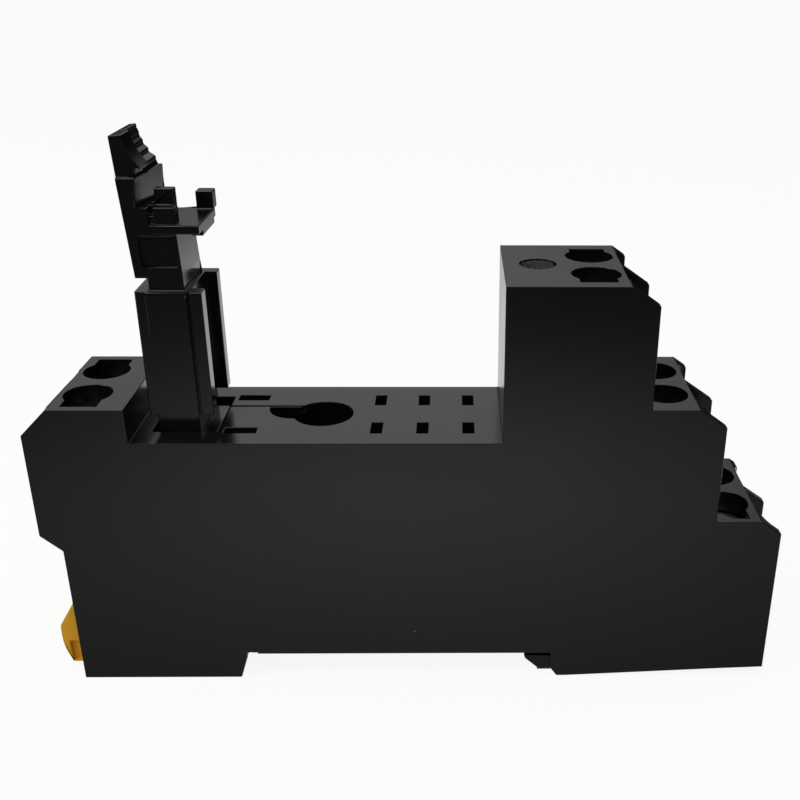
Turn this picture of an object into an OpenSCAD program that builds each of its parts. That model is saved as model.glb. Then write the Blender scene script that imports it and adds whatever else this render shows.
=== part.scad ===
// Relay socket for a 35 mm mounting rail: two changeover poles, eight screw
// terminals, a plug-in deck between them and a lever that holds and lifts the relay.
// X runs along the socket, Y through its thickness, Z away from the rail.
// The origin is the middle of the rail seat.

/* [Housing] */
// Thickness of the housing, along Y
body_t = 15.6; // [15.4:0.1:17]
// Height of the plug-in deck above the rail seat
deck_z = 27.1; // [26.8:0.1:29]
// Height of the highest terminal tier above the rail seat
top_z = 44.35; // [43:0.05:47]
// Drop from each terminal tier to the next
tier_drop = 13.4; // [13.2:0.1:13.8]
// Relay-side face of the tiered terminal block
tower_x = 11.6; // [11.2:0.1:13]
// Depth of the two feet below the rail seat
foot_h = 2.9; // [2.8:0.05:3.6]
// How far the left end is undercut above its foot
left_undercut = 2.3; // [1.6:0.1:2.6]
// Height of the ledge under the left wire recess
left_ledge_z = 15.85; // [15:0.05:17]
// Height of the ledge under the lowest right wire recess
right_ledge_z = 4.15; // [3.6:0.05:5]
// Diameter of the gate dimple on the highest tier
gate_d = 4; // [3.4:0.1:4.4]
// Depth of the gate dimple
gate_h = 0.6; // [0.3:0.1:0.8]
// Gate dimple's middle, from the tower's relay-side face
gate_inset = 3.7; // [3:0.1:4]

/* [Rail] */
// Width of the mounting rail over its flanges
rail_w = 35; // [34.8:0.1:35.2]
// Play of the rail between the feet
rail_play = 0.24; // [0.1:0.02:0.4]
// Thickness of the rail's flange
rail_t = 1; // [0.8:0.1:1.2]
// Reach of the fixed claw under the flange
claw_reach = 2.65; // [2:0.05:3]
// Depth of the slot that swallows the flange behind the claw
claw_slot_depth = 1; // [0.6:0.1:1.5]
// Radius of the claw's rounded underside
claw_r = 3; // [2.9:0.1:3.4]

/* [Terminals] */
// First terminal screw from the tower's relay-side face
screw_inset = 9.5; // [9:0.1:10]
// Step from each tier's screws to the next
tier_step = 8.05; // [7.9:0.05:8.4]
// Screws of the left block, left of the rail's centre
left_screw_x = 32.9; // [32.6:0.1:34]
// Distance of each screw from the middle plane
screw_y = 3.35; // [3.3:0.05:3.4]
// Screw axis to the wire face of its tier
screw_to_face = 3.1; // [3.05:0.05:3.5]
// Left block's screw axis to its relay-side face
left_inner = 5; // [4.5:0.1:5.2]
// Diameter of the screwdriver well
well_d = 5.1; // [4.9:0.05:5.2]
// Depth of the screw head's top in its well
head_sink = 2.6; // [1.8:0.1:2.7]
// Diameter of the screw head
head_d = 4.4; // [4:0.1:4.6]
// Height of the screw head
head_h = 1.8; // [1.6:0.1:1.9]
// Width of the screwdriver slot
slot_w = 0.8; // [0.6:0.1:1]
// Depth of the screwdriver slot
slot_h = 0.9; // [0.6:0.1:1.1]
// Diameter of the screw's shank
shank_d = 3; // [2.8:0.1:3.1]
// Running clearance of the shank in the clamp, all round
shank_play = 0.04; // [0.02:0.01:0.08]
// Thickness of the ledge under the screw head
ledge_t = 1; // [0.8:0.1:1.2]
// Width of the notch beside each well
notch_w = 3.8; // [3.2:0.1:4]
// Depth of the notch beside each well
notch_h = 2.6; // [1.5:0.1:3]

/* [Wire clamps] */
// Length of a clamp along the wire
clamp_l = 4; // [3.6:0.1:4.1]
// Width of a clamp, along Y
clamp_w = 4.5; // [4.2:0.1:4.6]
// Height of a clamp
clamp_h = 4.9; // [4.7:0.1:5]
// Threaded plate at the top of a clamp
clamp_plate = 1; // [0.8:0.1:1.2]
// Side walls of a clamp
clamp_wall = 0.7; // [0.6:0.05:0.8]
// Gap from the ledge's underside down to an open clamp
clamp_drop = 1.9; // [1.85:0.05:2]
// Lift of a clamp from open to closed
clamp_lift = 1.8; // [1.4:0.1:1.8]
// Gap between a clamp and its chamber, each side
clamp_gap = 0.2; // [0.15:0.05:0.25]
// Width of each wire entry
entry_w = 4.6; // [4.3:0.1:4.8]
// Height of each wire entry
entry_h = 4.4; // [4.2:0.1:4.5]

/* [Barriers] */
// How far the barriers stand out past the wire faces
barrier_l = 3; // [2.6:0.1:3.1]
// How far they stand out on the lowest tier
low_barrier_l = 2.3; // [2:0.1:2.6]
// Thickness of the outer barriers
barrier_t = 1; // [0.8:0.1:1.2]
// Thickness of the middle barrier
mid_barrier_t = 1.15; // [0.9:0.05:1.4]
// How much shorter the rear barriers are
rear_cut = 1.6; // [1:0.1:1.8]
// Fall of the right barriers' tops
barrier_fall = 35; // [28:1:36]
// Fall of the left barriers' tops
left_fall = 45; // [40:1:48]
// Radius where a wire face meets an outer barrier
recess_r = 2.2; // [1.5:0.1:2.4]

/* [Plug-in deck] */
// Place of the contact row nearest the tower
row_x = 8; // [7.8:0.1:8.2]
// Pitch of the three contact rows
row_pitch = 5; // [4.8:0.1:5.1]
// Distance of the contact slots from the middle plane
slot_y = 3.78; // [3.7:0.02:3.9]
// Thickness of a contact slot, along X
slot_x_w = 1.2; // [1:0.1:1.5]
// Length of a contact slot, along Y
slot_y_l = 2.85; // [2.6:0.05:3]
// Place of the coil slots, left of the rail's centre
coil_x = 16.7; // [16.5:0.1:16.8]
// Distance of the coil slots from the middle plane
coil_y = 4.45; // [4.35:0.05:4.55]
// Length of a coil slot, along X
coil_slot_l = 3.45; // [3.2:0.05:3.5]
// Width of a coil slot, along Y
coil_slot_w = 1.5; // [1.3:0.1:1.6]
// Thickness of the deck's skin over the contacts
deck_skin = 1.6; // [1.2:0.1:2]
// Radius of the round key hole
key_r = 3.3; // [3:0.1:3.4]
// Place of the key hole, left of the rail's centre
key_x = 8.2; // [8.1:0.1:8.6]
// Depth of the key hole
key_depth = 8; // [6:0.5:9]
// Reach of the key way from the hole's centre
key_way = 6.2; // [5:0.1:6.4]
// Rear side of the key way
key_way_rear = 1.8; // [1.5:0.1:1.85]
// Front side of the key way
key_way_front = 1.3; // [1:0.1:1.5]
// Radius of the key way's front corner
key_way_r = 2.8; // [1:0.1:3]
// Depth of the fine line between the key hole and the lever
line_depth = 0.8; // [0.4:0.1:1.2]

/* [Contact strips] */
// Thickness of the stamped strip
strip_t = 0.6; // [0.5:0.05:0.7]
// Width of the stamped strip
strip_w = 2.4; // [2.2:0.1:2.5]
// Distance of the strips from the middle plane
strip_y = 3.55; // [3.5:0.05:3.65]
// Clearance of the strips in their passages
strip_gap = 0.1; // [0.05:0.05:0.15]
// Half width of a contact fork at its foot
fork_foot = 1.1; // [1:0.05:1.15]
// Half width of a contact fork where it grips
fork_grip = 0.5; // [0.45:0.05:0.55]
// Half width of a contact fork at its mouth
fork_mouth = 0.9; // [0.8:0.05:1]
// Length over which a contact fork closes in
fork_l = 5.5; // [5:0.1:6]
// Length over which it opens again at its mouth
fork_lip = 1.8; // [1.4:0.1:2.2]
// Height between the strips' runs under the deck
run_step = 4.2; // [4:0.05:4.3]
// First strip's riser, from the tower's relay-side face
near_riser = 2.6; // [2.4:0.1:3]
// Second strip's riser, from the tower's relay-side face
far_riser = 13.3; // [13.1:0.1:13.5]

/* [Release lever] */
// Lever's pivot, left of the rail's centre
pivot_x = 22.95; // [22.9:0.05:23]
// Depth of the pivot below the deck
pivot_drop = 2.8; // [2.7:0.05:3]
// Diameter of the pivot pins
pin_d = 3; // [2.6:0.1:3.2]
// Running clearance of the pins, all round
pin_play = 0.05; // [0.03:0.01:0.08]
// Length of each pivot pin
pin_l = 1; // [0.8:0.1:1.2]
// Width of the lever's foot, along Y
lever_w = 9.2; // [9:0.1:9.4]
// Gap between the lever's foot and its pocket
lever_gap = 0.2; // [0.15:0.05:0.25]
// Height of the lever's shoulder above the pivot
shoulder_z = 18.3; // [17:0.1:20]
// Height of the lever's arm above the shoulder
arm_h = 15.6; // [15:0.1:17]
// Lean of the arm's outer face
arm_lean = 4.1; // [2:0.1:5]
// Width of the arm, along Y
arm_w = 7.7; // [7:0.1:8]
// Height of the holding plate above the shoulder
plate_rise = 5.9; // [5.8:0.1:6.4]
// Thickness of the holding plate
plate_t = 0.93; // [0.8:0.01:1.1]
// Reach of the holding plate past the pivot
plate_reach = 3.9; // [3.6:0.1:4.2]
// Height of the retaining post above the plate
post_h = 1.9; // [1.4:0.1:2.2]
// Width of the retaining post, along X
post_w = 1.8; // [1.4:0.1:2]
// Height of the rib that braces the holding plate
rib_h = 3.4; // [2.6:0.1:4]
// Height of the arm's ledge under the finger grip
ledge_rise = 10.2; // [9.6:0.1:11]
// Radius of the hollow in the finger grip
grip_r = 6; // [5.6:0.1:6.4]
// Number of ridges on the rear half of the finger grip
grip_ridges = 5; // [3:1:6]
// How far the ridged half stands back
ridge_back = 0.45; // [0.3:0.05:0.6]
// Width of the groove between the grip's two halves
groove_w = 0.3; // [0.2:0.05:0.5]
// Depth of the panel sunk in the arm's front
panel_h = 0.4; // [0.2:0.1:0.6]

/* [Rail latch] */
// Width of the latch, along Y
latch_w = 11.5; // [11:0.1:12]
// Height of the latch's head above the rail seat
latch_top = 7; // [5:0.1:8]
// Reach of the latch's head past the left foot
latch_reach = 2.8; // [2.2:0.1:3]
// Clearance under the latch to the foot's underside
latch_lift = 0.45; // [0.3:0.05:0.6]
// Radius under the latch's head
head_r = 3.8; // [3.4:0.1:4]
// Reach of the latch's nose into the rail gap
nose_reach = 1; // [0.8:0.1:1.4]
// Travel of the latch
latch_travel = 2.5; // [2:0.1:2.6]
// Gap between the latch and its channel
latch_gap = 0.15; // [0.1:0.05:0.2]
// Outer diameter of the latch spring
spring_d = 2.9; // [2.6:0.1:3.1]
// Wire of the latch spring
spring_wire = 0.45; // [0.35:0.05:0.5]
// Turns of the latch spring
spring_turns = 7; // [6:1:8]

/* [Base cover] */
// Half length of the base cover
cover_reach = 13.6; // [13:0.1:13.8]
// Thickness of the base cover
cover_t = 1.2; // [1:0.1:1.4]
// Gap round the base cover
cover_gap = 0.1; // [0.05:0.05:0.15]

/* [Hidden] */

$fn = 48;
e = 0.05;                       // how far a cut runs past the face it opens
half_t = body_t / 2;
half_gap = (rail_w + rail_play) / 2;
flange_play = 0.05;             // clearance of the flange on the claw

// Terminals, one per tier: screw X, tier top, wire side, ledge below, barrier length
// and how far from the middle plane the notch beside the well reaches.
second_z = top_z - tier_drop;
third_z = second_z - tier_drop;
tier_x = tower_x + screw_inset;
TIERS = [[tier_x, top_z, 1, second_z, barrier_l, 6.3],
         [tier_x + tier_step, second_z, 1, third_z, barrier_l, 0],
         [tier_x + 2 * tier_step, third_z, 1, right_ledge_z, low_barrier_l, 7.1],
         [-left_screw_x, second_z, -1, left_ledge_z, barrier_l, 6.8]];
face_1 = tier_x + screw_to_face;
face_2 = face_1 + tier_step;
face_3 = face_2 + tier_step;
left_face = -left_screw_x - screw_to_face;
left_end = left_face - barrier_l;
left_wall = left_end + left_undercut;
right_end = face_3 + low_barrier_l;

// Heights below a tier's top
seat_z = head_sink + head_h;
roof_z = seat_z + ledge_t;
clamp_z = roof_z + clamp_drop;
window_z = clamp_z + clamp_plate;
clamp_sole = clamp_h - clamp_plate - 3.1;
floor_z = clamp_z + clamp_h + 0.1;
tongue_z = window_z + 0.3 + strip_t / 2;
chamber_x = clamp_l / 2 + clamp_gap;
chamber_y = clamp_w / 2 + clamp_gap;

// Heights at which the strips run under the deck
low_run_z = third_z - tongue_z;
run_z = [low_run_z + 2 * run_step, low_run_z + run_step, low_run_z];
riser_x = [tower_x + near_riser, tower_x + far_riser];
fork_top = deck_z - deck_skin - 0.3;
coil_run_z = 17.5;
coil_riser_x = -left_screw_x + 3.3;
tongue_end = clamp_l / 2 - 0.1;
pocket_y0 = strip_y - strip_w / 2 - 0.3;
pocket_y1 = slot_y + slot_y_l / 2 + 0.15;

pivot_z = deck_z - pivot_drop;
hub_r = 2.4;
pocket_left = -3.15;            // lever pocket, from the pivot
pocket_right = 3.98;
pocket_floor = 3.8;             // below the pivot

// Latch and its channel
sole_z = -foot_h + latch_lift;
lip_z = -1.4;                   // the foot's lips end here
latch_roof = 2.2;
narrow_w = latch_w - 3.5;
spring_z = 0.4;
stop_x = -30.2;
stop_t = 1;
spring_x0 = stop_x + stop_t;
spring_x1 = -21;

black = [0.13, 0.13, 0.14];
amber = [0.93, 0.62, 0.12];
steel = [0.72, 0.73, 0.74];
copper = [0.80, 0.62, 0.35];

// A box between two corners
module block(lo, hi) {
    translate(lo)
        cube(hi - lo);
}

// An outline in X and Z, carried from y0 to y1
module along_y(y0, y1) {
    translate([0, y1, 0])
        rotate([90, 0, 0])
            linear_extrude(y1 - y0)
                children();
}

// Places a child at a terminal: +X to the wire, +Y away from the middle, Z up from its top
module at_terminal(n) {
    tier = TIERS[n % 4];
    rear = n > 3;
    translate([tier.x, (rear ? 1 : -1) * screw_y, tier.y])
        mirror([tier.z < 0 ? 1 : 0, 0, 0])
            mirror([0, rear ? 0 : 1, 0])
                children();
}

// Places a child on both poles, drawn for the rear one
module both_poles() {
    for (side = [0, 1])
        mirror([0, side, 0])
            children();
}

// ---- Ribbons: the edge of a bent strip, worked out from its centre line ----
function unit(v) = v / norm(v);
function normal(v) = [-v.y, v.x];
function before(p, i) = i > 0 ? unit(p[i] - p[i - 1]) : unit(p[1] - p[0]);
function after(p, i) = i < len(p) - 1 ? unit(p[i + 1] - p[i]) : before(p, i);
function miter(p, i) =
    let (m = unit(normal(before(p, i)) + normal(after(p, i))))
        m / (m * normal(after(p, i)));
function ribbon(p, t) =
    concat([for (i = [0 : len(p) - 1]) p[i] + miter(p, i) * t / 2],
           [for (i = [len(p) - 1 : -1 : 0]) p[i] - miter(p, i) * t / 2]);
function arc(c, r, a0, a1, n) =
    [for (i = [0 : n]) c + r * [cos(a0 + (a1 - a0) * i / n), sin(a0 + (a1 - a0) * i / n)]];

// ---- Housing ----

// Front outline of the moulding, clockwise from the left foot
module housing_outline() {
    drop = barrier_l * tan(barrier_fall);
    low_drop = low_barrier_l * tan(barrier_fall);
    toe = 0.8;
    polygon([[left_wall, -foot_h],
             [left_wall, left_ledge_z - left_undercut * 0.85],
             [left_end, left_ledge_z],
             [left_end, second_z - barrier_l * tan(left_fall)],
             [left_face, second_z],
             [-left_screw_x + left_inner, second_z],
             [-left_screw_x + left_inner, deck_z],
             [tower_x, deck_z],
             [tower_x, top_z],
             [face_1, top_z],
             [face_1 + barrier_l, top_z - drop],
             [face_1 + barrier_l, second_z],
             [face_2, second_z],
             [face_2 + barrier_l, second_z - drop],
             [face_2 + barrier_l, third_z],
             [face_3, third_z],
             [right_end, third_z - low_drop],
             [right_end, -foot_h],
             [half_gap + toe, -foot_h],
             [half_gap, -foot_h + toe],
             [half_gap, 0],
             [-half_gap, 0],
             [-half_gap, -foot_h + toe],
             [-half_gap - toe, -foot_h]]);
}

// Space in front of a wire face, between two barriers: its outer corner is rounded
module wire_recess(tier) {
    y0 = mid_barrier_t / 2 - screw_y;
    y1 = half_t - barrier_t - screw_y;
    reach = screw_to_face + tier[4] + 1;
    r = recess_r;
    translate([0, 0, tier[3] - tier.y])
        linear_extrude(tier.y - tier[3] + 1)
            difference() {
                translate([screw_to_face, y0])
                    square([reach - screw_to_face, y1 - y0]);
                translate([screw_to_face, y1 - r])
                    difference() {
                        square([r, r + e]);
                        translate([r, 0])
                            circle(r);
                    }
            }
}

// Notch on a well's outer side; a lip narrows the half of it that lies away from the wire
module notch(reach, lip) {
    r = 0.5;
    difference() {
        block([-notch_w / 2, 0, -notch_h], [notch_w / 2, reach, 1]);
        if (lip > 0)
            translate([0, 0, -notch_h - e])
                linear_extrude(notch_h + 2)
                    offset(-r)
                        offset(2 * r)
                            offset(-r)
                                polygon([[-3 * notch_w, reach - lip],
                                         [-lip, reach - lip],
                                         [0, reach],
                                         [notch_w, reach],
                                         [notch_w, 2 * reach],
                                         [-3 * notch_w, 2 * reach]]);
    }
}

// Everything that is cut for one terminal
module terminal_space(n) {
    tier = TIERS[n % 4];
    translate([0, 0, -seat_z])
        cylinder(h = seat_z + 1, d = well_d);
    translate([0, 0, -roof_z - e])
        cylinder(h = ledge_t + 2 * e, d = shank_d + 4 * shank_play);
    block([-chamber_x, -chamber_y, -floor_z], [chamber_x, chamber_y, -roof_z]);
    entry_z = floor_z + 0.1;
    block([chamber_x - e, -entry_w / 2, -entry_z],
          [screw_to_face + recess_r, entry_w / 2, -entry_z + entry_h]);
    wire_recess(tier);
    if (tier[5] > 0)
        notch(tier[5] - screw_y, n % 4 == 2 ? 1.15 : 0);
    if (n > 3)
        block([screw_to_face + tier[4] - rear_cut, 0, tier[3] - tier.y],
              [screw_to_face + tier[4] + 1, half_t - screw_y + 1, 1]);
}

// Centre line of a contact strip, from the clamp to its fork
function contact_path(k) =
    let (x0 = row_x - k * row_pitch,
         xe = TIERS[k].x + tongue_end,
         zt = TIERS[k].y - tongue_z)
        k < 2 ? [[xe, zt], [riser_x[k], zt], [riser_x[k], run_z[k]], [x0 - fork_foot, run_z[k]]]
              : [[xe, zt], [x0 - fork_foot, zt]];

coil_path = [[-left_screw_x - tongue_end, second_z - tongue_z],
             [coil_riser_x, second_z - tongue_z],
             [coil_riser_x, coil_run_z],
             [-coil_x + 1.4, coil_run_z]];

// Passages and pockets for the strips of one pole
module strip_space() {
    y0 = strip_y - strip_w / 2 - strip_gap;
    y1 = strip_y + strip_w / 2 + strip_gap;
    for (k = [0 : 2])
        along_y(y0, y1)
            polygon(ribbon(contact_path(k), strip_t + 2 * strip_gap));
    along_y(y0, y1)
        polygon(ribbon(coil_path, strip_t + 2 * strip_gap));
    block([row_x - 2 * row_pitch - fork_foot - 0.5, pocket_y0, cover_t - e],
          [row_x + fork_foot + 0.8, pocket_y1, deck_z - deck_skin]);
    for (k = [0 : 2])
        translate([row_x - k * row_pitch, slot_y, deck_z])
            cube([slot_x_w, slot_y_l, 2 * deck_skin + 1], center = true);
    translate([-coil_x, coil_y, deck_z])
        cube([coil_slot_l, coil_slot_w, 2 * deck_skin + 1], center = true);
    block([-coil_x - 1.7, coil_y - 1.15, coil_run_z - strip_t / 2 - strip_gap],
          [-coil_x + 1.7, coil_y + 1.15, deck_z - deck_skin]);
}

// Key hole of the deck, with its way and the fine line to the lever
module key_space() {
    translate([-key_x, 0, deck_z - key_depth])
        cylinder(h = key_depth + 1, r = key_r);
    translate([-key_x - key_way, 0, deck_z - key_depth])
        linear_extrude(key_depth + 1)
            difference() {
                translate([0, -key_way_front])
                    square([key_way, key_way_front + key_way_rear]);
                translate([-e, -key_way_front - e])
                    difference() {
                        square(key_way_r + e);
                        translate([key_way_r + e, key_way_r + e])
                            circle(key_way_r);
                    }
            }
    block([-pivot_x + pocket_right - e, 1.92, deck_z - line_depth],
          [-key_x, 2.27, deck_z + 1]);
}

// Pocket and bearings of the lever
module lever_space() {
    w = lever_w / 2 + lever_gap;
    block([-pivot_x + pocket_left, -w, pivot_z - pocket_floor],
          [-pivot_x + pocket_right, w, deck_z + 1]);
    translate([-pivot_x, w + pin_l, pivot_z])
        rotate([90, 0, 0])
            cylinder(h = 2 * (w + pin_l), d = pin_d + 2 * pin_play);
}

// Channel of the rail latch, open at the foot's left, right and underside
module latch_space() {
    w = latch_w / 2 + latch_gap;
    n = narrow_w / 2 + latch_gap;
    block([left_wall - 1, -w, lip_z - latch_gap], [-half_gap + e, w, latch_roof + latch_gap]);
    block([left_wall - 1, -n, -foot_h - 1], [-half_gap + e, n, lip_z]);
}

// Slot that takes the rail's flange, behind the claw
module claw_space() {
    y = half_t - barrier_t + 0.1;
    block([half_gap - 3.4, -y, -rail_t - flange_play], [half_gap + claw_slot_depth, y, 0.35]);
}

// Fixed claw under the rail's flange
module claw() {
    y = half_t - barrier_t;
    z1 = -rail_t - flange_play;
    along_y(-y, y)
        intersection() {
            translate([half_gap, z1 + 1.45])
                circle(claw_r);
            translate([half_gap - claw_reach, -foot_h + 0.25])
                square([claw_reach + e, foot_h - 0.25 + z1]);
        }
}

module housing() {
    color(black)
        union() {
            difference() {
                along_y(-half_t, half_t)
                    housing_outline();
                for (n = [0 : 7])
                    at_terminal(n)
                        terminal_space(n);
                both_poles()
                    strip_space();
                key_space();
                lever_space();
                latch_space();
                claw_space();
                translate([tower_x + gate_inset, 0.2, top_z - gate_h])
                    cylinder(h = gate_h + 1, d = gate_d);
                block([-cover_reach - cover_gap, -half_t + barrier_t, -1],
                      [cover_reach + cover_gap, half_t - barrier_t, cover_t]);
                block([-half_gap - e, -half_t - 1, -e], [-half_gap + 1.3, half_t + 1, 0.2]);
            }
            claw();
            block([stop_x, -1.6, -1], [stop_x + stop_t, 1.6, latch_roof + latch_gap + e]);
        }
}

// Cover that closes the contact pockets from below, with a post under each longest fork
module base_cover() {
    y = half_t - barrier_t - cover_gap;
    x3 = row_x - 2 * row_pitch;
    color(black)
        union() {
            block([-cover_reach, -y, 0], [cover_reach, y, cover_t]);
            both_poles()
                block([x3 - fork_foot, strip_y - 0.9, cover_t - e],
                      [x3 + fork_foot, strip_y + 0.9, third_z - tongue_z - strip_t / 2]);
        }
}

// ---- Terminals ----

// Captive screw: a slotted and cross-cut head on a plain-drawn shank
module terminal_screw(n) {
    color(steel)
        at_terminal(n)
            difference() {
                union() {
                    translate([0, 0, -seat_z])
                        cylinder(h = head_h, d = head_d);
                    translate([0, 0, -window_z - 0.05])
                        cylinder(h = window_z + 0.05 - seat_z + e, d = shank_d);
                }
                block([-head_d, -slot_w / 2, -head_sink - slot_h], [head_d, slot_w / 2, 0]);
                block([-slot_w / 2, -1.25, -head_sink - slot_h], [slot_w / 2, 1.25, 0]);
            }
}

// Rising clamp: a square tube round the wire, tapped through its top plate
module wire_clamp(n) {
    z1 = -clamp_z;
    z0 = z1 - clamp_h;
    y = clamp_w / 2;
    color(steel)
        at_terminal(n)
            difference() {
                block([-clamp_l / 2, -y, z0], [clamp_l / 2, y, z1]);
                block([-clamp_l, -y + clamp_wall, z0 + clamp_sole],
                      [clamp_l, y - clamp_wall, z1 - clamp_plate]);
                translate([0, 0, z1 - clamp_plate - e])
                    cylinder(h = clamp_plate + 2 * e, d = shank_d + 2 * shank_play);
            }
}

// ---- Strips ----

// One leaf of a fork, left or right of its middle, from its foot to its mouth
function leaf(c, foot_z, side) =
    [[c + side * fork_foot, foot_z],
     [c + side * fork_foot, fork_top - fork_l],
     [c + side * fork_grip, fork_top - fork_lip],
     [c + side * fork_mouth, fork_top]];

// Stamped strip of one contact: tongue, riser, run and fork in one bend line
module contact_strip(n) {
    k = n % 3;
    x0 = row_x - k * row_pitch;
    z0 = k < 2 ? run_z[k] : third_z - tongue_z;
    color(copper)
        mirror([0, n < 3 ? 1 : 0, 0])
            along_y(strip_y - strip_w / 2, strip_y + strip_w / 2)
                union() {
                    polygon(ribbon(contact_path(k), strip_t));
                    for (side = [-1, 1])
                        polygon(ribbon(leaf(x0, z0, side), strip_t));
                }
}

// Strip of one coil terminal: its fork is turned to face along Y
module coil_strip(n) {
    leaf_t = 0.45;
    foot = 0.8;
    color(copper)
        mirror([0, n < 1 ? 1 : 0, 0])
            union() {
                along_y(strip_y - strip_w / 2, strip_y + strip_w / 2)
                    polygon(ribbon(coil_path, strip_t));
                translate([-coil_x - 1.4, 0, 0])
                    rotate([90, 0, 90])
                        linear_extrude(2.8)
                            for (side = [-1, 1])
                                polygon(ribbon([[coil_y - side * foot / 4, coil_run_z],
                                                [coil_y + side * foot, coil_run_z],
                                                [coil_y + side * foot, fork_top - fork_l],
                                                [coil_y + side * fork_grip, fork_top - fork_lip],
                                                [coil_y + side * 0.7, fork_top]], leaf_t));
            }
}

// ---- Release lever, drawn from its pivot ----
half_lever = lever_w / 2;
half_arm = arm_w / 2;
foot_z = pivot_drop + 1.75;     // underside of the lever's shoulder column
plate_z = shoulder_z + plate_rise + plate_t;
arm_z = shoulder_z + 1.3;
tip_z = arm_z + arm_h - 1.3;
ledge_z = arm_z + ledge_rise;
arm_right = -1.07;              // the arm's relay side, above the holding plate
block_h = 1.75;                 // front block of the brace, above the plate
grip_c = [3.05, tip_z + 0.9];
function arm_left(z) = -3.15 - (z - arm_z) * tan(arm_lean);

// Column between the deck and the shoulder: two legs joined by a core
module lever_column() {
    left = -3.05;
    right = 3.6;
    web = right - 1.3;              // relay side of the core
    front_leg = 1.75;
    rear_leg = 1.5;
    front = -half_lever + 0.1;
    groove = 0.26;
    core = half_lever - 1.6;
    difference() {
        union() {
            block([left, front, foot_z], [right, front + front_leg, shoulder_z]);
            block([left, half_lever - rear_leg, foot_z], [right, half_lever, shoulder_z]);
            block([left, front, foot_z], [web, -front, shoulder_z]);
            block([-2.4, -half_lever, -1], [web - groove, half_lever, shoulder_z - 0.3]);
            block([-2, half_lever - rear_leg, shoulder_z - e], [1.4, half_lever, shoulder_z + 0.3]);
        }
        block([web - groove, front - 1, foot_z - 1], [web, front + 0.4, shoulder_z + 1]);
        block([web, front + front_leg, foot_z - 1],
              [right + 1, half_lever - rear_leg, shoulder_z + 1]);
        block([left - 1, -core, foot_z + 1.4], [web - 1.2, core, shoulder_z - 1.4]);
    }
}

// Hub in the deck's pocket, its two pins and the toe that lifts the relay
module lever_hub() {
    rotate([90, 0, 0])
        cylinder(h = lever_w, r = hub_r, center = true);
    rotate([90, 0, 0])
        cylinder(h = lever_w + 2 * lever_gap + 2 * pin_l - 0.2, d = pin_d, center = true);
    block([0, -half_lever + 1, 0.4], [3.6, half_lever - 1, 2.2]);
}

// Arm from the neck to the ledge, with the panel sunk in its front
module lever_arm() {
    chamfer = 0.9;
    difference() {
        along_y(-half_arm, half_arm)
            polygon([[arm_left(arm_z), arm_z],
                     [1.75, arm_z],
                     [1.5, plate_z - e],
                     [arm_right, plate_z - e],
                     [arm_right, ledge_z],
                     [arm_left(ledge_z), ledge_z]]);
        translate([arm_right, -half_arm, plate_z + block_h])
            linear_extrude(arm_h)
                polygon([[e, -e], [e, chamfer], [-chamfer - e, -e]]);
        along_y(-half_arm - e, -half_arm + panel_h)
            hull() {
                translate([arm_left(arm_z) + 1.4, arm_z + 1.65])
                    circle(0.6);
                translate([arm_left(arm_z) + 0.8, plate_z - 1.4])
                    square([3.6, 0.2]);
                translate([1.1, arm_z + 1.05])
                    square(0.2);
            }
    }
}

// Hollow face of the grip at a height
function grip_x(z) = grip_c.x - sqrt(grip_r * grip_r - (z - grip_c.y) * (z - grip_c.y));

// Finger grip: a smooth hollow in front, a groove, and a ridged half behind
module finger_grip() {
    set_back = 0.4;
    middle = -0.3;
    ridge_h = (tip_z - ledge_z) / grip_ridges;
    along_y(-half_arm + set_back, middle - groove_w / 2)
        difference() {
            polygon([[arm_left(ledge_z), ledge_z - e],
                     [-2.2, ledge_z - e],
                     [-2.2, ledge_z],
                     [arm_right, ledge_z + 0.8],
                     [grip_x(tip_z) + 0.1, tip_z],
                     [arm_left(tip_z), tip_z - 0.1]]);
            translate(grip_c)
                circle(grip_r);
        }
    along_y(middle - groove_w / 2 - e, middle + groove_w / 2 + e)
        polygon([[arm_left(ledge_z), ledge_z - e],
                 [-2.2, ledge_z - e],
                 [grip_x(tip_z) - 2 * ridge_back, tip_z - 0.3],
                 [arm_left(tip_z), tip_z - 0.3]]);
    along_y(middle + groove_w / 2, half_arm)
        polygon(concat([[arm_left(ledge_z), ledge_z - e],
                        [arm_left(tip_z), tip_z - 0.1]],
                       [for (i = [0 : grip_ridges - 1], low = [0, 1])
                           let (z = tip_z - i * ridge_h)
                               [min(grip_x(z), arm_right) - ridge_back, z - low * ridge_h / 2]],
                       [[arm_right - ridge_back, ledge_z - e]]));
}

// Holding plate with its brace, its underside rib and the retaining post
module holding_plate() {
    post_y = 3.2;
    brace_x = 1.4;
    brace_y = -half_arm + 1.35;
    block([-1, -half_arm - 0.2, plate_z - plate_t], [plate_reach, half_arm + 0.1, plate_z]);
    block([2.7, -2.3, plate_z - 1.5], [plate_reach, post_y, plate_z - e]);
    block([plate_reach - post_w, post_y, plate_z - e],
          [plate_reach, post_y + 1.7, plate_z + post_h]);
    block([arm_right + 0.55, -half_arm, plate_z - e], [brace_x + 0.26, brace_y, plate_z + block_h]);
    block([arm_right - e, -half_arm + 0.3, plate_z - e], [brace_x, brace_y, plate_z + block_h - 0.9]);
    block([arm_right - e, brace_y - e, plate_z - e], [brace_x, brace_y + 1, plate_z + rib_h]);
}

module release_lever() {
    color(black)
        translate([-pivot_x, 0, pivot_z])
            union() {
                lever_column();
                lever_hub();
                block([-1.9, -half_arm, shoulder_z - e], [1.75, half_arm, arm_z + e]);
                lever_arm();
                finger_grip();
                holding_plate();
            }
}

// ---- Rail latch ----

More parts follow.
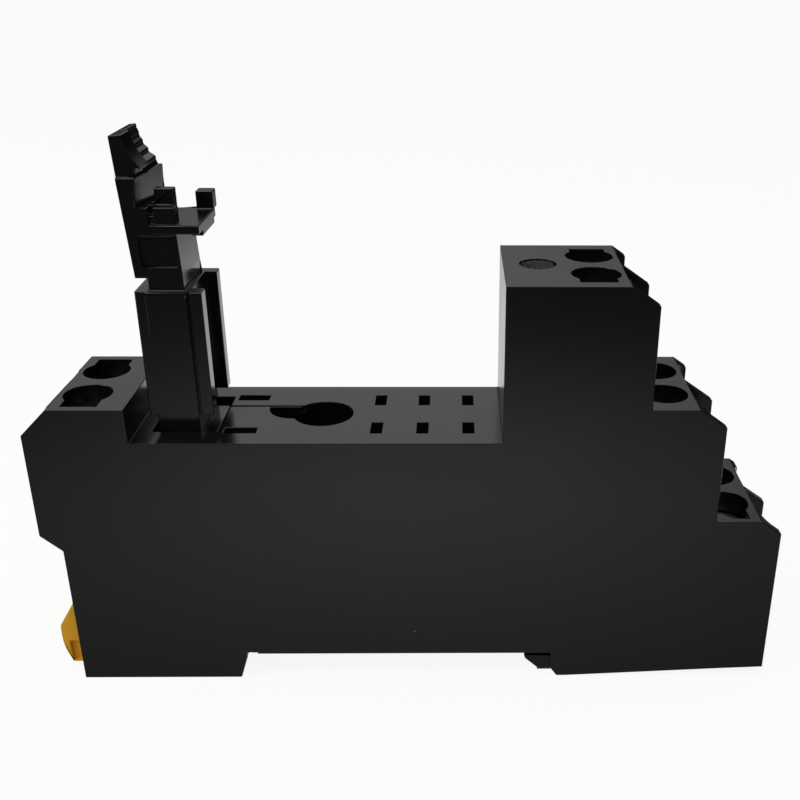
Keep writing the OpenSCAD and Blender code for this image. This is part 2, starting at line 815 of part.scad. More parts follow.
// Sliding latch: a T-shaped bar in the foot with a finger head and a rail nose
module rail_latch() {
    w = latch_w / 2;
    n = narrow_w / 2;
    x1 = -half_gap;
    tip = left_wall - latch_reach;
    color(amber)
        difference() {
            union() {
                along_y(-w, w)
                    polygon(concat([[left_wall - 0.1, sole_z],
                                    [left_wall - 0.1, latch_top],
                                    [tip + 0.15, 2.7]],
                                   arc([tip, sole_z] + [head_r, head_r], head_r, 180, 235, 6),
                                   [[tip + 2.4, sole_z]]));
                block([left_wall - 0.1 - e, -w, lip_z], [x1 - 0.1, w, latch_roof]);
                block([left_wall - 0.1 - e, -n, sole_z], [x1 - 0.1, n, lip_z + e]);
                along_y(-n, n)
                    polygon([[x1 - 0.2, sole_z],
                             [x1 + nose_reach * 0.4, sole_z],
                             [x1 + nose_reach, -rail_t - 0.6],
                             [x1 + nose_reach, -rail_t - 0.1],
                             [x1 - 0.2, -rail_t - 0.1]]);
            }
            block([stop_x - 0.15, -1.8, -1.15], [spring_x1, 1.8, latch_roof + 1]);
        }
}

// Compression spring between the housing's stop and the latch
module latch_spring() {
    sides = 6;
    steps = 16;
    rings = spring_turns * steps;
    r = (spring_d - spring_wire) / 2;
    x0 = spring_x0 + spring_wire / 2;
    pitch = (spring_x1 - spring_x0 - spring_wire) / spring_turns;
    points = [for (i = [0 : rings], j = [0 : sides - 1])
        let (turn = 360 * i / steps,
             side = 360 * j / sides,
             out = r + spring_wire / 2 * cos(side))
            [x0 + pitch * i / steps + spring_wire / 2 * sin(side),
             out * cos(turn),
             spring_z + out * sin(turn)]];
    walls = [for (i = [0 : rings - 1], j = [0 : sides - 1])
        let (k = (j + 1) % sides)
            [i * sides + j, i * sides + k, (i + 1) * sides + k, (i + 1) * sides + j]];
    ends = [[for (j = [sides - 1 : -1 : 0]) j],
            [for (j = [0 : sides - 1]) rings * sides + j]];
    color(steel)
        polyhedron(points, concat(walls, ends));
}

housing();
base_cover();
release_lever();
rail_latch();
latch_spring();
terminal_screw(0);  // terminal_screw_1
terminal_screw(1);  // terminal_screw_2
terminal_screw(2);  // terminal_screw_3
terminal_screw(3);  // terminal_screw_4
terminal_screw(4);  // terminal_screw_5
terminal_screw(5);  // terminal_screw_6
terminal_screw(6);  // terminal_screw_7
terminal_screw(7);  // terminal_screw_8
wire_clamp(0);  // wire_clamp_1
wire_clamp(1);  // wire_clamp_2
wire_clamp(2);  // wire_clamp_3
wire_clamp(3);  // wire_clamp_4
wire_clamp(4);  // wire_clamp_5
wire_clamp(5);  // wire_clamp_6
wire_clamp(6);  // wire_clamp_7
wire_clamp(7);  // wire_clamp_8
contact_strip(0);  // contact_strip_1
contact_strip(1);  // contact_strip_2
contact_strip(2);  // contact_strip_3
contact_strip(3);  // contact_strip_4
contact_strip(4);  // contact_strip_5
contact_strip(5);  // contact_strip_6
coil_strip(0);  // coil_strip_1
coil_strip(1);  // coil_strip_2
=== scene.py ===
"""Relay socket for a 35 mm rail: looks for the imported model, section by section as it is put together."""
import math

import bmesh
import bpy
import numpy as np
from mathutils import Matrix, Vector


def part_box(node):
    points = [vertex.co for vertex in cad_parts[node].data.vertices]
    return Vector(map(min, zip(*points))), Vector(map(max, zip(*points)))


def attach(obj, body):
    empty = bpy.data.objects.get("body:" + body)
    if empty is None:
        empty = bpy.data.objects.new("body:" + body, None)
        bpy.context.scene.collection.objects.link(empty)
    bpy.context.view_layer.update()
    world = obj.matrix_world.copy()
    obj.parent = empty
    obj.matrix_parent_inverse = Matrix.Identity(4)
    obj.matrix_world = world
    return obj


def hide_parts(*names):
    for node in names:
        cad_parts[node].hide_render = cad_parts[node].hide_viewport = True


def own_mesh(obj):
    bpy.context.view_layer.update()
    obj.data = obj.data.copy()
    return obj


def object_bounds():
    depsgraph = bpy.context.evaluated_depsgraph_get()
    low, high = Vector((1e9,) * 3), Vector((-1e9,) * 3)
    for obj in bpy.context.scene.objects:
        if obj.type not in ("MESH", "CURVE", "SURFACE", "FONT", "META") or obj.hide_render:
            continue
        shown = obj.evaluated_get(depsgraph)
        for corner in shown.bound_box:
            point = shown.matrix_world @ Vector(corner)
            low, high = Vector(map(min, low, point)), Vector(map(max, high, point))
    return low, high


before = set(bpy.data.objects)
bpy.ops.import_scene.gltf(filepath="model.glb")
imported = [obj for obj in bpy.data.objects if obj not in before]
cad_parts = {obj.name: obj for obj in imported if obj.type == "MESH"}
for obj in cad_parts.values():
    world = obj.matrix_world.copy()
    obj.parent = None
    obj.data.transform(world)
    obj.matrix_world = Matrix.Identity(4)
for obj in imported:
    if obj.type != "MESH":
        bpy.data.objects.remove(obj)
cad_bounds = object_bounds()


# ---- Floor, backdrop, lamps and camera --------------------------------------
# A plain pale floor under soft lamps, where the socket stands on the soles of its two feet. The
# camera looks along +Y and down on the socket's long side.

MM = 0.001
low, high = [Vector(corner) for corner in cad_bounds]
middle = (low + high) / 2


def new_material(name):
    """An empty node material with its output, and a short way to add and join nodes."""
    mat = bpy.data.materials.new(name)
    mat.use_nodes = True
    tree = mat.node_tree
    tree.nodes.clear()
    out = tree.nodes.new("ShaderNodeOutputMaterial")
    return mat, tree, out


def add(tree, kind, **values):
    """Adds one node and sets its sockets by name, or its properties where it has no such socket."""
    node = tree.nodes.new(kind)
    for key, value in values.items():
        if key in node.inputs:
            node.inputs[key].default_value = value
        else:
            setattr(node, key, value)
    return node


def put(name, verts, faces, smooth=False):
    """Makes a mesh object from arrays of points and faces, at the origin."""
    mesh = bpy.data.meshes.new(name)
    mesh.from_pydata([tuple(v) for v in np.asarray(verts, float)], [], [tuple(int(i) for i in f) for f in faces])
    mesh.update()
    mesh.shade_smooth() if smooth else mesh.shade_flat()
    obj = bpy.data.objects.new(name, mesh)
    bpy.context.collection.objects.link(obj)
    return obj


FLOOR_REACH = 3.0
FOOT_DROP = 0.4 * MM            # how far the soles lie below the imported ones
floor_z = low.z - FOOT_DROP
floor = put("floor", [(-FLOOR_REACH, -FLOOR_REACH, floor_z), (FLOOR_REACH, -FLOOR_REACH, floor_z),
                      (FLOOR_REACH, FLOOR_REACH, floor_z), (-FLOOR_REACH, FLOOR_REACH, floor_z)], [(0, 1, 2, 3)])


def smooth_ramp(tree, source, low, high, out_low=0.0, out_high=1.0):
    """Carries a value smoothly from one level to another between two limits."""
    ramp = add(tree, "ShaderNodeMapRange", interpolation_type="SMOOTHSTEP")
    ramp.inputs["From Min"].default_value = low
    ramp.inputs["From Max"].default_value = high
    ramp.inputs["To Min"].default_value = out_low
    ramp.inputs["To Max"].default_value = out_high
    tree.links.new(source, ramp.inputs["Value"])
    return ramp.outputs["Result"]


def sums(tree, operation, first, second=None):
    """One step of arithmetic on sockets or plain numbers."""
    node = add(tree, "ShaderNodeMath", operation=operation)
    for slot, value in enumerate((first, second)):
        if isinstance(value, (int, float)):
            node.inputs[slot].default_value = value
        elif value is not None:
            tree.links.new(value, node.inputs[slot])
    return node.outputs[0]


# The floor is white paper. Gloss on the socket mirrors a pool of light painted on it as glow seen only in
# reflections, exp(-(x/wide)^2 - ((y - middle)/deep)^2) in front, a painted bright sheet behind, and a dim room past
# its end.
mat, tree, out = new_material("white_paper")
paint = add(tree, "ShaderNodeBsdfDiffuse", Color=(0.86, 0.86, 0.85, 1))
white = add(tree, "ShaderNodeEmission", Color=(1.0, 1.0, 0.99, 1), Strength=1.0)
# painted light: a glow on the floor that only reflections see
painted_reflected_glow = add(tree, "ShaderNodeEmission", Color=(1.0, 1.0, 1.02, 1))
path = add(tree, "ShaderNodeLightPath")
place = add(tree, "ShaderNodeTexCoord")
apart = add(tree, "ShaderNodeSeparateXYZ")
tree.links.new(place.outputs["Object"], apart.inputs[0])
across, along = apart.outputs["X"], apart.outputs["Y"]
POOL_Y, POOL_WIDE, POOL_DEEP = -0.058, 0.068, 0.051
from_pool = sums(tree, "SUBTRACT", along, POOL_Y)
x_part = sums(tree, "POWER", sums(tree, "ABSOLUTE", sums(tree, "DIVIDE", across, POOL_WIDE)), 2)
y_part = sums(tree, "POWER", sums(tree, "ABSOLUTE", sums(tree, "DIVIDE", from_pool, POOL_DEEP)), 2)
pool = sums(tree, "EXPONENT", sums(tree, "MULTIPLY", sums(tree, "ADD", x_part, y_part), -1))
front = sums(tree, "ADD", sums(tree, "MULTIPLY", pool, 0.60), 0.03)
reach = add(tree, "ShaderNodeVectorMath", operation="LENGTH")
tree.links.new(place.outputs["Object"], reach.inputs[0])
back = sums(tree, "MULTIPLY", smooth_ramp(tree, reach.outputs["Value"], 0.10, 0.31, 1.02, 0.05),
            smooth_ramp(tree, across, 0.085, 0.125, 1.0, 0.06))
side = smooth_ramp(tree, along, -0.006, 0.003)
level = add(tree, "ShaderNodeMix", data_type="FLOAT")
tree.links.new(side, level.inputs[0])
tree.links.new(front, level.inputs[2])
tree.links.new(back, level.inputs[3])
tree.links.new(level.outputs[0], painted_reflected_glow.inputs["Strength"])
SEEN_WHITE = 0.91               # the rest of what the camera sees is lit paper, with its shadow
in_gloss = add(tree, "ShaderNodeMixShader")
tree.links.new(path.outputs["Is Glossy Ray"], in_gloss.inputs[0])
tree.links.new(paint.outputs[0], in_gloss.inputs[1])
tree.links.new(painted_reflected_glow.outputs[0], in_gloss.inputs[2])
paper = add(tree, "ShaderNodeMixShader")
tree.links.new(sums(tree, "MULTIPLY", path.outputs["Is Camera Ray"], SEEN_WHITE), paper.inputs[0])
tree.links.new(in_gloss.outputs[0], paper.inputs[1])
tree.links.new(white.outputs[0], paper.inputs[2])
tree.links.new(paper.outputs[0], out.inputs[0])
floor.data.materials.append(mat)

# The room is dim at the horizon and bright above, most of all in a window behind the socket.
world = bpy.data.worlds.new("studio")
world.use_nodes = True
bpy.context.scene.world = world
tree = world.node_tree
tree.nodes.clear()
out = tree.nodes.new("ShaderNodeOutputWorld")
place = add(tree, "ShaderNodeTexCoord")
apart = add(tree, "ShaderNodeSeparateXYZ")
tree.links.new(place.outputs["Generated"], apart.inputs[0])
height = add(tree, "ShaderNodeMapRange")
for socket, value in (("From Min", 0.10), ("From Max", 0.50), ("To Min", 0.02), ("To Max", 0.88)):
    height.inputs[socket].default_value = value
tree.links.new(apart.outputs["Z"], height.inputs["Value"])
aim = add(tree, "ShaderNodeVectorMath", operation="DOT_PRODUCT")
aim.inputs[1].default_value = (-0.11, 0.90, 0.43)      # towards the window
tree.links.new(place.outputs["Generated"], aim.inputs[0])
window = smooth_ramp(tree, aim.outputs["Value"], 0.86, 1.0, 0.2, 1.0)
ceiling = smooth_ramp(tree, apart.outputs["Z"], 0.62, 0.86, 0.0, 0.95)
room = add(tree, "ShaderNodeBackground", Color=(0.985, 0.99, 1.0, 1))
tree.links.new(sums(tree, "MAXIMUM", sums(tree, "MULTIPLY", height.outputs["Result"], window), ceiling),
               room.inputs["Strength"])
seen = add(tree, "ShaderNodeBackground", Color=(1, 1, 0.99, 1), Strength=0.99)
path = add(tree, "ShaderNodeLightPath")
mix = add(tree, "ShaderNodeMixShader")
tree.links.new(path.outputs["Is Camera Ray"], mix.inputs[0])
tree.links.new(room.outputs[0], mix.inputs[1])
tree.links.new(seen.outputs[0], mix.inputs[2])
tree.links.new(mix.outputs[0], out.inputs[0])


def lamp(name, place, size, power):
    """A square soft lamp at a place round the socket, turned to its middle."""
    light = bpy.data.lights.new(name, "AREA")
    light.shape = "SQUARE"
    light.size = size
    light.energy = power
    obj = bpy.data.objects.new(name, light)
    obj.location = Vector(place)
    obj.rotation_euler = (middle - obj.location).to_track_quat("-Z", "Y").to_euler()
    bpy.context.collection.objects.link(obj)
    return obj


lamp("overhead", (-0.04, -0.22, 0.60), 0.5, 1.3)
lamp("left_front", (-0.45, -0.20, 0.33), 0.3, 1.1)

PITCH, YAW, ROLL = (math.radians(degrees) for degrees in (24.357, -0.795, 0.307))
camera_data = bpy.data.cameras.new("camera")
camera_data.sensor_width = 36
camera_data.lens = 47.064
camera_data.shift_x = -0.0870
camera_data.shift_y = 0.0205
camera_data.clip_start = 0.01
camera = bpy.data.objects.new("camera", camera_data)
bpy.context.collection.objects.link(camera)
turn = Matrix.Rotation(YAW, 3, "Z") @ Matrix.Rotation(math.pi / 2 - PITCH, 3, "X") @ Matrix.Rotation(ROLL, 3, "Z")
camera.matrix_world = turn.to_4x4()
camera.location = (6.685 * MM, -107.212 * MM, 75.261 * MM)
bpy.context.scene.camera = camera
bpy.context.scene.view_settings.view_transform = "Standard"


# ---- Housing ------------------------------------------------------------------
# One injection moulding in black plastic. Its faces are smooth enough to mirror the room faintly,
# and its edges carry the small radius of the mould. The right foot's sole rises to its end.

def black_plastic(name, base, rough, grain, shine=0.5):
    """Moulded black plastic: its gloss varies in soft patches, over slow waves, fine grain and dust."""
    mat, tree, out = new_material(name)
    place = add(tree, "ShaderNodeTexCoord")
    patches = add(tree, "ShaderNodeTexNoise", Scale=70.0, Detail=4.0, Roughness=0.6)
    gloss = add(tree, "ShaderNodeMapRange")
    for socket, value in (("From Min", 0.3), ("From Max", 0.7), ("To Min", rough - 0.04), ("To Max", rough + 0.05)):
        gloss.inputs[socket].default_value = value
    waves = add(tree, "ShaderNodeTexNoise", Scale=45.0, Detail=1.0)
    slow = add(tree, "ShaderNodeBump", Strength=0.6, Distance=0.00005)
    fine = add(tree, "ShaderNodeTexNoise", Scale=7000.0, Detail=2.0)
    bump = add(tree, "ShaderNodeBump", Strength=grain, Distance=0.00002)
    specks = add(tree, "ShaderNodeTexVoronoi", Scale=520.0)
    for node in (patches, waves, fine, specks):
        tree.links.new(place.outputs["Object"], node.inputs["Vector"])
    chance = add(tree, "ShaderNodeSeparateXYZ")
    tree.links.new(specks.outputs["Color"], chance.inputs[0])
    size = sums(tree, "MULTIPLY", sums(tree, "SUBTRACT", chance.outputs["X"], 0.93), 1.1)
    dust = sums(tree, "LESS_THAN", specks.outputs["Distance"], size)
    tint = add(tree, "ShaderNodeMix", data_type="RGBA")
    tint.inputs[6].default_value = (*base, 1)
    tint.inputs[7].default_value = (0.20, 0.20, 0.19, 1)       # dust
    tree.links.new(dust, tint.inputs[0])
    body = add(tree, "ShaderNodeBsdfPrincipled")
    body.inputs["IOR"].default_value = 1.5
    body.inputs["Specular IOR Level"].default_value = shine
    tree.links.new(tint.outputs[2], body.inputs["Base Color"])
    tree.links.new(patches.outputs["Fac"], gloss.inputs["Value"])
    tree.links.new(gloss.outputs["Result"], body.inputs["Roughness"])
    tree.links.new(waves.outputs["Fac"], slow.inputs["Height"])
    tree.links.new(fine.outputs["Fac"], bump.inputs["Height"])
    tree.links.new(slow.outputs["Normal"], bump.inputs["Normal"])
    tree.links.new(bump.outputs["Normal"], body.inputs["Normal"])
    tree.links.new(body.outputs[0], out.inputs[0])
    return mat


def prism(name, outline, near, far):
    """A profile in X and Z, counter-clockwise as seen from -Y, carried from y = near to y = far (mm)."""
    flat = np.asarray(outline, float)
    count = len(flat)
    verts = np.concatenate([np.insert(flat, 1, y, axis=1) for y in (near, far)]) * MM
    here = np.arange(count)
    after = np.roll(here, -1)
    walls = np.stack([here, here + count, after + count, after], axis=1)
    faces = [here.tolist(), (here[::-1] + count).tolist()] + walls.tolist()
    obj = put(name, verts, faces)
    if sum(face.area * face.normal.dot(face.center) for face in obj.data.polygons) < 0:
        obj.data.flip_normals()
    return obj


def applied(obj):
    """Turns an object's modifiers into its mesh."""
    mesh = bpy.data.meshes.new_from_object(obj.evaluated_get(bpy.context.evaluated_depsgraph_get()))
    obj.modifiers.clear()
    obj.data = mesh
    return mesh


SHARP = math.radians(30)        # edges turn more than this where they are rounded
CURVE = math.radians(20)        # and less than this across the strips of a curved face
STRIP = 1.1 * MM                # widest strip of a curved face


def rounded(obj, width, cuts=(), adds=()):
    """Adds and cuts tools, then rounds each edge that is long and sharp enough between broad faces."""
    for operation, tools in (("UNION", adds), ("DIFFERENCE", cuts)):
        for tool in tools:
            change = obj.modifiers.new("change", "BOOLEAN")
            change.operation = operation
            change.solver = "EXACT"
            change.object = tool
    mesh = applied(obj)
    for tool in (*adds, *cuts):
        bpy.data.objects.remove(tool)
    shape = bmesh.new()
    shape.from_mesh(mesh)
    for face in shape.faces:
        face.smooth = True
    weight = shape.edges.layers.float.new("bevel_weight_edge")
    for line in shape.edges:
        length, turn = line.calc_length(), line.calc_face_angle(3.0)
        narrow = [face for face in line.link_faces if face.calc_area() < STRIP * length]
        line.smooth = len(narrow) == 2 and turn < CURVE
        thin = [face for face in line.link_faces if face.calc_area() < 2.2 * width * length]
        line[weight] = turn > SHARP and length > 3 * width and not thin
    shape.to_mesh(mesh)
    shape.free()
    edge = obj.modifiers.new("edge", "BEVEL")
    edge.width = width
    edge.segments = 2
    edge.limit_method = "WEIGHT"
    edge.harden_normals = True
    edge.use_clamp_overlap = False
    applied(obj).materials.clear()
    return obj


def softened(node, name, width, cuts=(), adds=()):
    """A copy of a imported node, merged, joined into flat faces and rounded."""
    obj = bpy.data.objects.new(name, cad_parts[node].data.copy())
    bpy.context.collection.objects.link(obj)
    obj.data.materials.clear()
    merge = obj.modifiers.new("merge", "WELD")
    merge.merge_threshold = 1e-6
    join = obj.modifiers.new("join", "DECIMATE")
    join.decimate_type = "DISSOLVE"
    join.angle_limit = math.radians(0.5)
    return rounded(obj, width, cuts, adds)


housing_low, housing_high = [np.array(corner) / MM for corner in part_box("housing")]
RAIL_EDGE = 17.62               # half the width of the recess for the rail
RISE_START, RISE_BEND, BEND_RISE, END_RISE = 19.5, 37.4, 0.78, 1.0
sole, right_end = housing_low[2], housing_high[0]
right_sole = prism("right_sole", [(RISE_START, sole - 1), (right_end + 1, sole - 1), (right_end + 1, sole + END_RISE),
                                  (RISE_BEND, sole + BEND_RISE), (RISE_START, sole)], -9, 9)
left_toe = prism("left_toe", [(-RAIL_EDGE - 0.86, sole - 0.05), (-RAIL_EDGE + 0.6, sole - 0.05),
                              (-RAIL_EDGE + 0.6, sole + 2.4), (-RAIL_EDGE - 0.04, sole + 2.4)], -9, 9)
claw_back = prism("claw_back", [(14.62, -1.06), (14.75, -1.5), (16.15, sole + 0.12), (RAIL_EDGE + 0.3, sole + 0.12),
                                (RAIL_EDGE + 0.3, -1.06)], -6.79, 6.79)
housing = softened("housing", "housing_moulding", 0.10 * MM, cuts=(right_sole, left_toe), adds=(claw_back,))

# The soles go down by a drop that falls off along the right foot, with their rounded edges.
points = np.zeros(len(housing.data.vertices) * 3)
housing.data.vertices.foreach_get("co", points)
points = points.reshape(-1, 3)
rise = np.interp(points[:, 0], [RISE_START * MM, RISE_BEND * MM, right_end * MM], [0, BEND_RISE * MM, END_RISE * MM])
drop = np.interp(points[:, 0], [0, RISE_START * MM, right_end * MM], [FOOT_DROP, 0.3 * MM, 0.13 * MM])
points[:, 2] -= np.where(points[:, 2] < (sole + 0.13) * MM + rise, drop, 0)
housing.data.vertices.foreach_set("co", points.ravel())
housing.data.materials.append(black_plastic("housing_black", (0.0042, 0.0042, 0.0046), 0.20, 0.05))
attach(housing, "base")
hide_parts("housing")


# ---- Gate scar -------------------------------------------------------------------
# Where the moulding was torn from its runner, a rough round stub is left in a dimple of the
# tower's top. It is part of the housing's moulding, duller than the faces round it.

scar_x, scar_y, scar_z, scar_r = 15.3, 0.2, 43.75, 1.93


def gate_scar():
    """A disc of rings: a low dome, 0.42 + 0.1 (1 - (r/R)^2), with a sum of forty waves of seeded
    direction and phase, 0.16/k sin(k (x cos t + y sin t) + p), for the torn face, and a short skirt."""
    chance = np.random.default_rng(11)
    rings, spokes = 60, 160
    r = np.linspace(0, 1, rings)[1:, None] * scar_r
    a = np.linspace(0, 2 * np.pi, spokes, endpoint=False)[None, :]
    x, y = r * np.cos(a), r * np.sin(a)
    k, t, p = chance.uniform(7, 21, 40), chance.uniform(0, np.pi, 40), chance.uniform(0, 2 * np.pi, 40)
    waves = (0.16 / k * np.sin(k * (x[..., None] * np.cos(t) + y[..., None] * np.sin(t)) + p)).sum(-1)
    z = 0.42 + 0.1 * (1 - (r / scar_r) ** 2) + waves
    z = np.where(r > 0.99 * scar_r, 0.0, z)
    top = np.stack([x, y, z], axis=-1).reshape(-1, 3)
    verts = np.concatenate([top, [[0, 0, 0.5], [0, 0, -0.02]]]) + (scar_x, scar_y, scar_z)
    ring, spoke = np.meshgrid(np.arange(rings - 2), np.arange(spokes), indexing="ij")
    following = (spoke + 1) % spokes
    quads = np.stack([ring * spokes + spoke, (ring + 1) * spokes + spoke, (ring + 1) * spokes + following,
                      ring * spokes + following], axis=-1).reshape(-1, 4)
    s = np.arange(spokes)
    middle_fan = np.stack([np.full(spokes, len(top)), s, (s + 1) % spokes], axis=1)
    rim = (rings - 2) * spokes
    below = np.stack([np.full(spokes, len(top) + 1), rim + (s + 1) % spokes, rim + s], axis=1)
    faces = quads.tolist() + middle_fan.tolist() + below.tolist()
    return put("gate_scar", verts * MM, faces, smooth=True)


scar = gate_scar()
scar.data.materials.append(black_plastic("torn_black", (0.010, 0.0095, 0.008), 0.50, 0.5, shine=0.24))
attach(scar, "base")


# ---- Base cover --------------------------------------------------------------------
# A flat plate of the same plastic, snapped in from below to close the contact pockets. Nobody sees
# it in use, so it is left duller, as it comes from the mould.

cover = softened("base_cover", "cover_moulding", 0.08 * MM)
cover.data.materials.append(black_plastic("cover_black", (0.006, 0.006, 0.0064), 0.34, 0.12))
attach(cover, "base")
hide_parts("base_cover")


# ---- Release lever --------------------------------------------------------------
# A second black moulding, glossier than the housing. It turns on two pins in the deck's pocket:
# the arm holds the relay down, and pulling the ridged grip lifts it out.

PIVOT = (-22.95, 24.3)          # X and Z of the pins
arm_right, arm_half, brace_top = PIVOT[0] - 1.07, 3.85, 51.18
column_left, column_front, column_foot, shoulder = PIVOT[0] - 3.05, -4.5, 28.85, 42.6


def upright(name, plan, bottom, top, lean=0.0):
    """A plan in X and Y, counter-clockwise from above, carried from z = bottom to z = top (mm),
    with lean added to X at its top."""
    flat = np.asarray(plan, float)
    count = len(flat)
    verts = np.concatenate([np.insert(flat + (x, 0), 2, z, axis=1) for x, z in ((0, bottom), (lean, top))]) * MM
    here = np.arange(count)
    after = np.roll(here, -1)
    walls = np.stack([here, after, after + count, here + count], axis=1)
    return put(name, verts, [here[::-1].tolist(), (here + count).tolist()] + walls.tolist())


arm_side = upright("arm_side", [(arm_right - 1.12, -arm_half - 0.1), (arm_right + 0.4, -arm_half - 0.1),
                                (arm_right + 0.4, arm_half + 0.1), (arm_right - 0.2, arm_half + 0.1)],
                   brace_top + 0.02, 54.9, 0.25)
# The column's left side is a little thicker all round its recess, and its front edge is stepped.
column_side = upright("column_side", [(column_left - 0.27, column_front), (column_left + 0.02, column_front),
                                      (column_left + 0.02, 4.5), (column_left - 0.27, 4.5)], column_foot, shoulder)
RECESS_HALF, RECESS_LOW, RECESS_TOP = 3, 30.25, 41.2
column_pocket = upright("column_pocket", [(column_left - 0.6, -RECESS_HALF), (column_left + 0.1, -RECESS_HALF),
                                          (column_left + 0.1, RECESS_HALF), (column_left - 0.6, RECESS_HALF)],
                        RECESS_LOW, RECESS_TOP)
column_edge = upright("column_edge",
                      [(column_left - 0.6, column_front - 0.3), (column_left + 0.86, column_front - 0.3),
                       (column_left + 0.86, column_front + 0.26), (column_left - 0.6, column_front + 0.26)],
                      column_foot, shoulder + 0.5)
lever = softened("release_lever", "lever_moulding", 0.13 * MM, cuts=(arm_side, column_edge, column_pocket),
                 adds=(column_side,))
lever.data.materials.append(black_plastic("lever_black", (0.0045, 0.0045, 0.0048), 0.17, 0.05))
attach(lever, "lever")
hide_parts("release_lever")


# ---- Rail latch -------------------------------------------------------------------
# A slider moulded in yellow-orange plastic, held in the left foot. Its head stands out of the foot
# with a long round underside and a shallow slot in each flank.

def amber_plastic(name):
    """Satin yellow-orange plastic, cloudy in soft patches."""
    mat, tree, out = new_material(name)
    place = add(tree, "ShaderNodeTexCoord")
    cloud = add(tree, "ShaderNodeTexNoise", Scale=350.0, Detail=3.0)
    tint = add(tree, "ShaderNodeMix", data_type="RGBA")
    tint.inputs[6].default_value = (0.60, 0.295, 0.006, 1)
    tint.inputs[7].default_value = (0.74, 0.375, 0.010, 1)
    fine = add(tree, "ShaderNodeTexNoise", Scale=6000.0, Detail=2.0)
    bump = add(tree, "ShaderNodeBump", Strength=0.08, Distance=0.00002)
    body = add(tree, "ShaderNodeBsdfPrincipled", Roughness=0.42)
    body.inputs["Specular IOR Level"].default_value = 0.2
    for node in (cloud, fine):
        tree.links.new(place.outputs["Object"], node.inputs["Vector"])
    tree.links.new(cloud.outputs["Fac"], tint.inputs[0])
    tree.links.new(tint.outputs[2], body.inputs["Base Color"])
    tree.links.new(fine.outputs["Fac"], bump.inputs["Height"])
    tree.links.new(bump.outputs["Normal"], body.inputs["Normal"])
    tree.links.new(body.outputs[0], out.inputs[0])
    return mat


latch_low, latch_high = [np.array(corner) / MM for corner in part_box("rail_latch")]
wall_x, tip_x, latch_sole, latch_half = -36.8, latch_low[0], latch_low[2], latch_high[1]
belly = 7.2                     # radius of the underside
fall = np.linspace(0, math.asin((1.0 - latch_sole) / belly), 9)
round_side = np.stack([tip_x + belly * (1 - np.cos(fall)), 1.0 - belly * np.sin(fall)], axis=1)
head = prism("latch_head", [(wall_x + 0.05, latch_high[2]), (tip_x + 0.12, 2.7), (tip_x, 2.2), *round_side.tolist(),
                            (wall_x + 0.05, latch_sole)], -latch_half, latch_half)
slots = [prism("pull_slot",
               [(-38.56, latch_sole + 0.14), (-37.27, latch_sole + 0.14), (-37.62, 0.40), (-38.66, 0.40)],
               *sorted((side * (latch_half - 0.45), side * (latch_half + 1)))) for side in (-1, 1)]
old_head = prism("old_head", [(tip_x - 1, latch_sole - 1), (wall_x - 0.04, latch_sole - 1),
                              (wall_x - 0.04, latch_high[2] + 1), (tip_x - 1, latch_high[2] + 1)],
                 -latch_half - 1, latch_half + 1)
head = rounded(head, 0.12 * MM, cuts=slots)
slider = softened("rail_latch", "latch_slider", 0.1 * MM, cuts=(old_head,))
amber = amber_plastic("latch_amber")
for piece in (head, slider):
    piece.data.materials.append(amber)
    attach(piece, "latch")
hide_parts("rail_latch")


# ---- Terminals and contacts -----------------------------------------------------------
# Screws of plated steel lift plated cages, folded from sheet, that clamp the wires against the
# strips. The strips are stamped from a copper alloy and end in the forks under the deck.

def metal(name, base, rough):
    """Plated metal with fine streaks in its gloss."""
    mat, tree, out = new_material(name)
    place = add(tree, "ShaderNodeTexCoord")
    streaks = add(tree, "ShaderNodeTexNoise", Scale=2500.0, Detail=2.0)
    gloss = add(tree, "ShaderNodeMapRange")
    gloss.inputs["To Min"].default_value = rough - 0.08
    gloss.inputs["To Max"].default_value = rough + 0.08
    body = add(tree, "ShaderNodeBsdfPrincipled", Metallic=1.0)
    body.inputs["Base Color"].default_value = (*base, 1)
    tree.links.new(place.outputs["Object"], streaks.inputs["Vector"])
    tree.links.new(streaks.outputs["Fac"], gloss.inputs["Value"])
    tree.links.new(gloss.outputs["Result"], body.inputs["Roughness"])
    tree.links.new(body.outputs[0], out.inputs[0])
    return mat


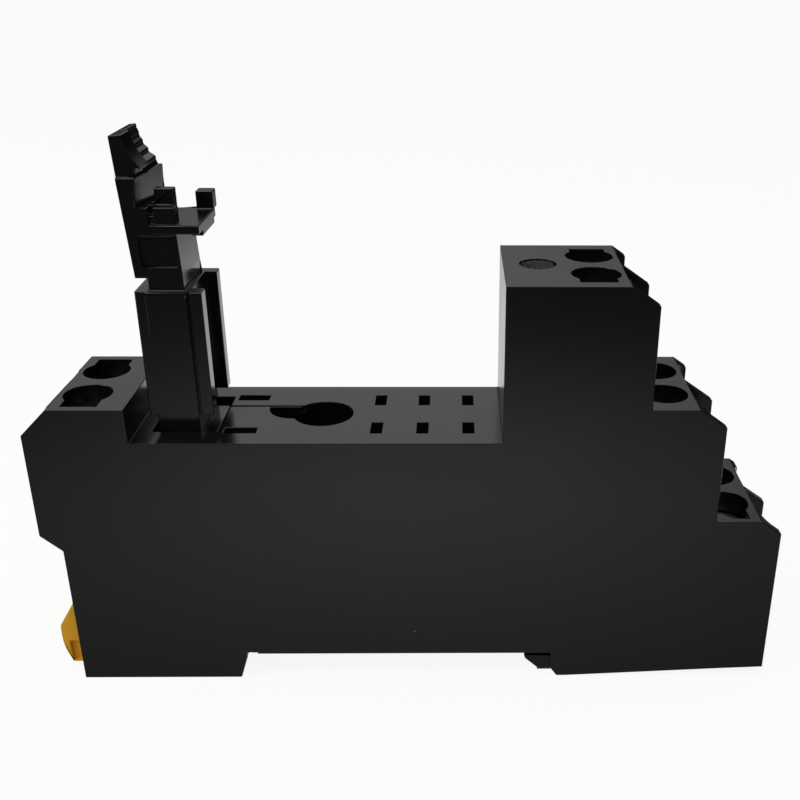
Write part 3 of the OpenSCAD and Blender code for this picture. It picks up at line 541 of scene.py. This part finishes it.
plated = metal("zinc_plate", (0.33, 0.33, 0.32), 0.36)
copper = metal("contact_alloy", (0.62, 0.40, 0.22), 0.3)
for start, name, body, finish, slot in (
        ("terminal_screw_", "screw", "screw_", plated, "plated_steel"),
        ("wire_clamp_", "cage", "clamp_", plated, "plated_steel"),
        ("contact_strip_", "strip", None, copper, "contact_alloy"),
        ("coil_strip_", "coil_strip_piece", None, copper, "contact_alloy")):
    for node in [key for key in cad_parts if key.startswith(start)]:
        number = node[len(start):]
        piece = softened(node, f"{name}_{number}", 0.06 * MM)
        piece.data.materials.append(finish)
        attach(piece, f"{body}{number}" if body else "base")
        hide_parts(node)


# ---- Latch spring -----------------------------------------------------------------
# A small coil of spring steel wire between a stop in the housing and the slider. It is pushed
# together as the slider is pulled out.

spring_low, spring_high = [np.array(corner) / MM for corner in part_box("latch_spring")]
wire, turns = 0.45, 7


def coil():
    """A tube along a helix about X: the centre line is (x0 + p t, R cos a, R sin a), a = 2 pi t, and
    each ring stands out from it by r cos b along the radius and r sin b along X."""
    steps, sides = 32 * turns + 1, 12
    t = np.linspace(0, turns, steps)[:, None]
    a, b = 2 * np.pi * t, np.linspace(0, 2 * np.pi, sides, endpoint=False)[None, :]
    out = (spring_high[1] - spring_low[1]) / 2 - wire / 2 + wire / 2 * np.cos(b)
    pitch = (spring_high[0] - spring_low[0] - wire) / turns
    x = spring_low[0] + wire / 2 + pitch * t + wire / 2 * np.sin(b)
    y_mid, z_mid = (spring_low[1:] + spring_high[1:]) / 2
    verts = np.stack([x, y_mid + out * np.cos(a), z_mid + out * np.sin(a)], axis=-1).reshape(-1, 3)
    i, j = np.meshgrid(np.arange(steps - 1), np.arange(sides), indexing="ij")
    k = (j + 1) % sides
    quads = np.stack([i * sides + j, i * sides + k, (i + 1) * sides + k, (i + 1) * sides + j], axis=-1).reshape(-1, 4)
    ends = [np.arange(sides)[::-1].tolist(), (np.arange(sides) + (steps - 1) * sides).tolist()]
    obj = put("latch_coil", verts * MM, quads.tolist() + ends, smooth=True)
    shape = bmesh.new()
    shape.from_mesh(obj.data)
    bmesh.ops.recalc_face_normals(shape, faces=shape.faces)
    shape.to_mesh(obj.data)
    shape.free()
    return obj


spring = coil()
spring.data.materials.append(metal("spring_wire", (0.42, 0.42, 0.44), 0.3))
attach(spring, "base")
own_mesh(spring)
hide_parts("latch_spring")
